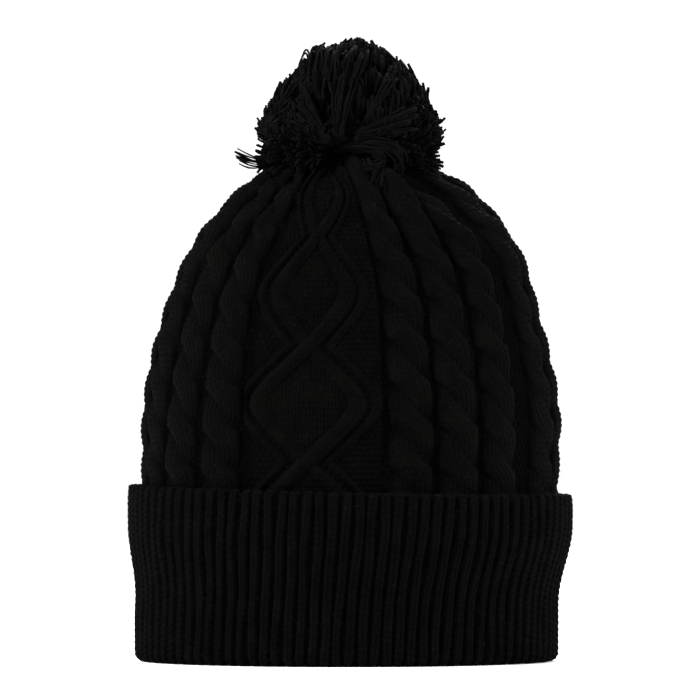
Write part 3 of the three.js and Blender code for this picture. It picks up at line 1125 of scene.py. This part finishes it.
def tie_yarns():
    """The two-ply tie of the pom-pom, its knot inside the hat and the binding round the strands."""
    low, high = node_box("anchor_yarn")
    plies = two_plies(1.1, low[2], high[2], 2, 60)
    yarn_piece("anchor_yarn_plies", plies, 1.0, "hat", "anchor_yarn")
    yarn_piece("anchor_yarn_knot", [trefoil("anchor_knot", 3.6)], 1.3, "hat", "anchor_knot", 10)
    low, high = node_box("pom_neck")
    plies = two_plies(1.25, low[2] + 0.2, high[2] - 0.2, 0.8, 40)
    yarn_piece("pom_neck_plies", plies, 1.15, "pom_neck", "pom_neck")
    low, high = node_box("pom_binding")
    windings = [coil(radius, low[2] + 0.9, high[2] - 0.9, 5, 260) for radius in (4.6, 2.7)]
    yarn_piece("pom_binding_turns", windings, 0.85, "pom_binding", "pom_binding")


def seam_ridge():
    """Two strands that zigzag up the linked seam inside the middle of the back."""
    low, high = node_box("back_seam")
    z = np.linspace(low[2] + 1, high[2] - 1, 420)
    band_y = cuff_half_width(z) - TWO_LAYERS - DEPTH_DROP - 1.7
    rising = slice(0, int(np.argmax(CROWN_CURVE[:, 1])))
    at = np.interp(z, CROWN_CURVE[rising, 1], CROWN_AT[rising])
    half = np.interp(at, CROWN_AT, CROWN_CURVE[:, 0])
    slope = np.gradient(CROWN_CURVE[:, 0]) / np.maximum(np.gradient(CROWN_CURVE[:, 1]), 1e-3)
    tilt = np.cos(np.arctan(np.interp(at, CROWN_AT, slope)))
    ratio = mix(CROWN_DEPTH_RATIO, CROWN_TOP_DEPTH_RATIO, smooth(150, GATHER_Z, z))
    crown_y = (half - (CROWN_THICK + 2.6) / tilt) * ratio
    y = mix(band_y, crown_y, smooth(72, 92, z))
    zigzag = 0.55 * np.sin(TAU * z / SEAM_STITCH_MM)
    strands = [xyz(zigzag * side, y + 0.25 * side, z) for side in (-1, 1)]
    yarn_piece("seam_ridge", strands, 0.55, "hat", "back_seam", 6)


# ---- care label


def care_label():
    """A blank satin label whose lower edge curls a little away from the back of the hat."""
    low, high = node_box("care_label")
    x, z = np.meshgrid(np.linspace(low[0], high[0], 41), np.linspace(high[2], low[2], 61))
    down = (high[2] - z) / (high[2] - low[2])
    y = (low[1] + high[1]) / 2 + 0.25 * np.sin(x / 5) * down - 1.1 * smooth(0.7, 1.0, down)
    selvedge = 0.12 * (np.abs(x) > high[0] - 1.2)
    front = xyz(x, y - 0.12 - selvedge, z)
    back = xyz(x, y + 0.14, z)
    points, faces, edge = shell(front, back, 4)
    piece = make_piece("care_label_satin", points, faces, label_satin, "label", edge)
    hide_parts("care_label")


def label_stitches():
    """A row of short stitches along the label's top edge."""
    low, high = node_box("label_stitching")
    middle = middle_of("label_stitching")
    count = 9
    length = (high[0] - low[0]) / count
    t = np.linspace(0, math.pi, 14)
    x = low[0] + length * (np.arange(count)[:, None] + 0.5 - 0.42 * np.cos(t))
    paths = xyz(x, middle[1] - 0.42 * np.sin(t) ** 0.6, middle[2])
    points, faces = tubes(paths, 0.24, 8, 0.12, TAU / 1.2)
    piece = make_piece("label_stitches", points, faces, label_thread, "hat")
    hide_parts("label_stitching")


# ---- fuzz


def fuzz(name, random, roots, directions, length, body):
    """Fine loose fibres that stand off the yarn and curl over."""
    count, steps = len(roots), 5
    directions = unit(directions + random.normal(0, 0.75, (count, 3)))
    bend = random.normal(0, 0.5, (count, 3)) * length
    t = np.linspace(0, 1, steps)[None, :, None]
    reach = length * random.uniform(0.4, 1.2, (count, 1, 1))
    paths = roots[:, None] + directions[:, None] * reach * t + bend[:, None] * t**2
    radii = 0.055 * (1 - 0.55 * np.linspace(0, 1, steps))[None] * random.uniform(0.7, 1.3, (count, 1))
    points, faces = tubes(paths, radii, 3)
    make_piece(name, points, faces, fuzz_yarn, body)


def crown_fuzz():
    random = np.random.default_rng(301)
    rounds, fibres = 24, 300
    around = PANEL_FROM + random.uniform(0, CROWN_ROUND, (rounds, fibres))
    along = random.uniform(0, 205, rounds * fibres)
    points, normal = crown_surface(np.sort(around).ravel(), along)[:2]
    fuzz("crown_fuzz", random, points - normal * 0.3, normal, 2.2, "hat")


def cuff_fuzz():
    random = np.random.default_rng(302)
    count = 5200
    turn = random.uniform(0, 1, count)
    z = random.uniform(3, CUFF_HEIGHT - 1, count)
    half = cuff_half_width(z) - 0.6
    roots = oval_place(half, z, turn)
    directions = oval_place(half + 1, z, turn) - roots
    fuzz("cuff_fuzz", random, roots, directions, 1.8, "hat")


# ---- camera, light and floor


def area_light(name, place, target_z, size, power):
    light = bpy.data.lights.new(name, "AREA")
    light.shape = "DISK"
    light.size = size
    light.energy = power
    lamp = put_in_scene(name, light)
    lamp.location = place
    direction = Vector((0, 0, target_z)) - Vector(place)
    lamp.rotation_euler = direction.to_track_quat("-Z", "Y").to_euler()


def studio():
    """White surroundings and floor, and three soft lamps."""
    scene = bpy.context.scene
    world = bpy.data.worlds.new("studio_world")
    world.use_nodes = True
    background = world.node_tree.nodes["Background"].inputs
    background["Color"].default_value = (1, 1, 1, 1)
    background["Strength"].default_value = 1.15
    scene.world = world
    scene.view_settings.view_transform = "Standard"

    floor = Shading("studio_floor", Base_Color=(0.93, 0.93, 0.93, 1), Roughness=0.8)
    mesh = bpy.data.meshes.new("studio_floor")
    mesh.from_pydata([(-12, -12, 0), (12, -12, 0), (12, 12, 0), (-12, 12, 0)], [], [(0, 1, 2, 3)])
    mesh.materials.append(floor.material)
    put_in_scene("studio_floor", mesh)

    area_light("key", (-1.6, -1.0, 1.7), 0.15, 0.35, 110)
    area_light("side", (1.7, -0.5, 0.8), 0.17, 0.5, 40)
    area_light("rear", (0.3, 1.7, 1.3), 0.17, 0.7, 70)


# The picture's height, as a share of the hat's.
VIEW_TO_HAT = 1.1254


def camera():
    """A long lens straight in front, level with the middle of the hat."""
    low, high = cad_low[2], cad_high[2]
    data = bpy.data.cameras.new("camera")
    data.lens = 400
    data.sensor_width = 36
    data.clip_end = 100
    distance = (high - low) * VIEW_TO_HAT * data.lens / data.sensor_width
    cam = put_in_scene("camera", data)
    cam.location = (0, -distance, (low + high) / 2)
    cam.rotation_euler = (math.pi / 2, 0, 0)
    bpy.context.scene.camera = cam


camera()
studio()
crown()
cuff()
inner_band()
pom_pom()
long_locks()
flopped_lock()
pom_skirt()
pom_underlay()
pom_heart()
curled_lock()
tie_ends()
gather_yarns()
tie_yarns()
seam_ridge()
care_label()
label_stitches()
crown_fuzz()
cuff_fuzz()
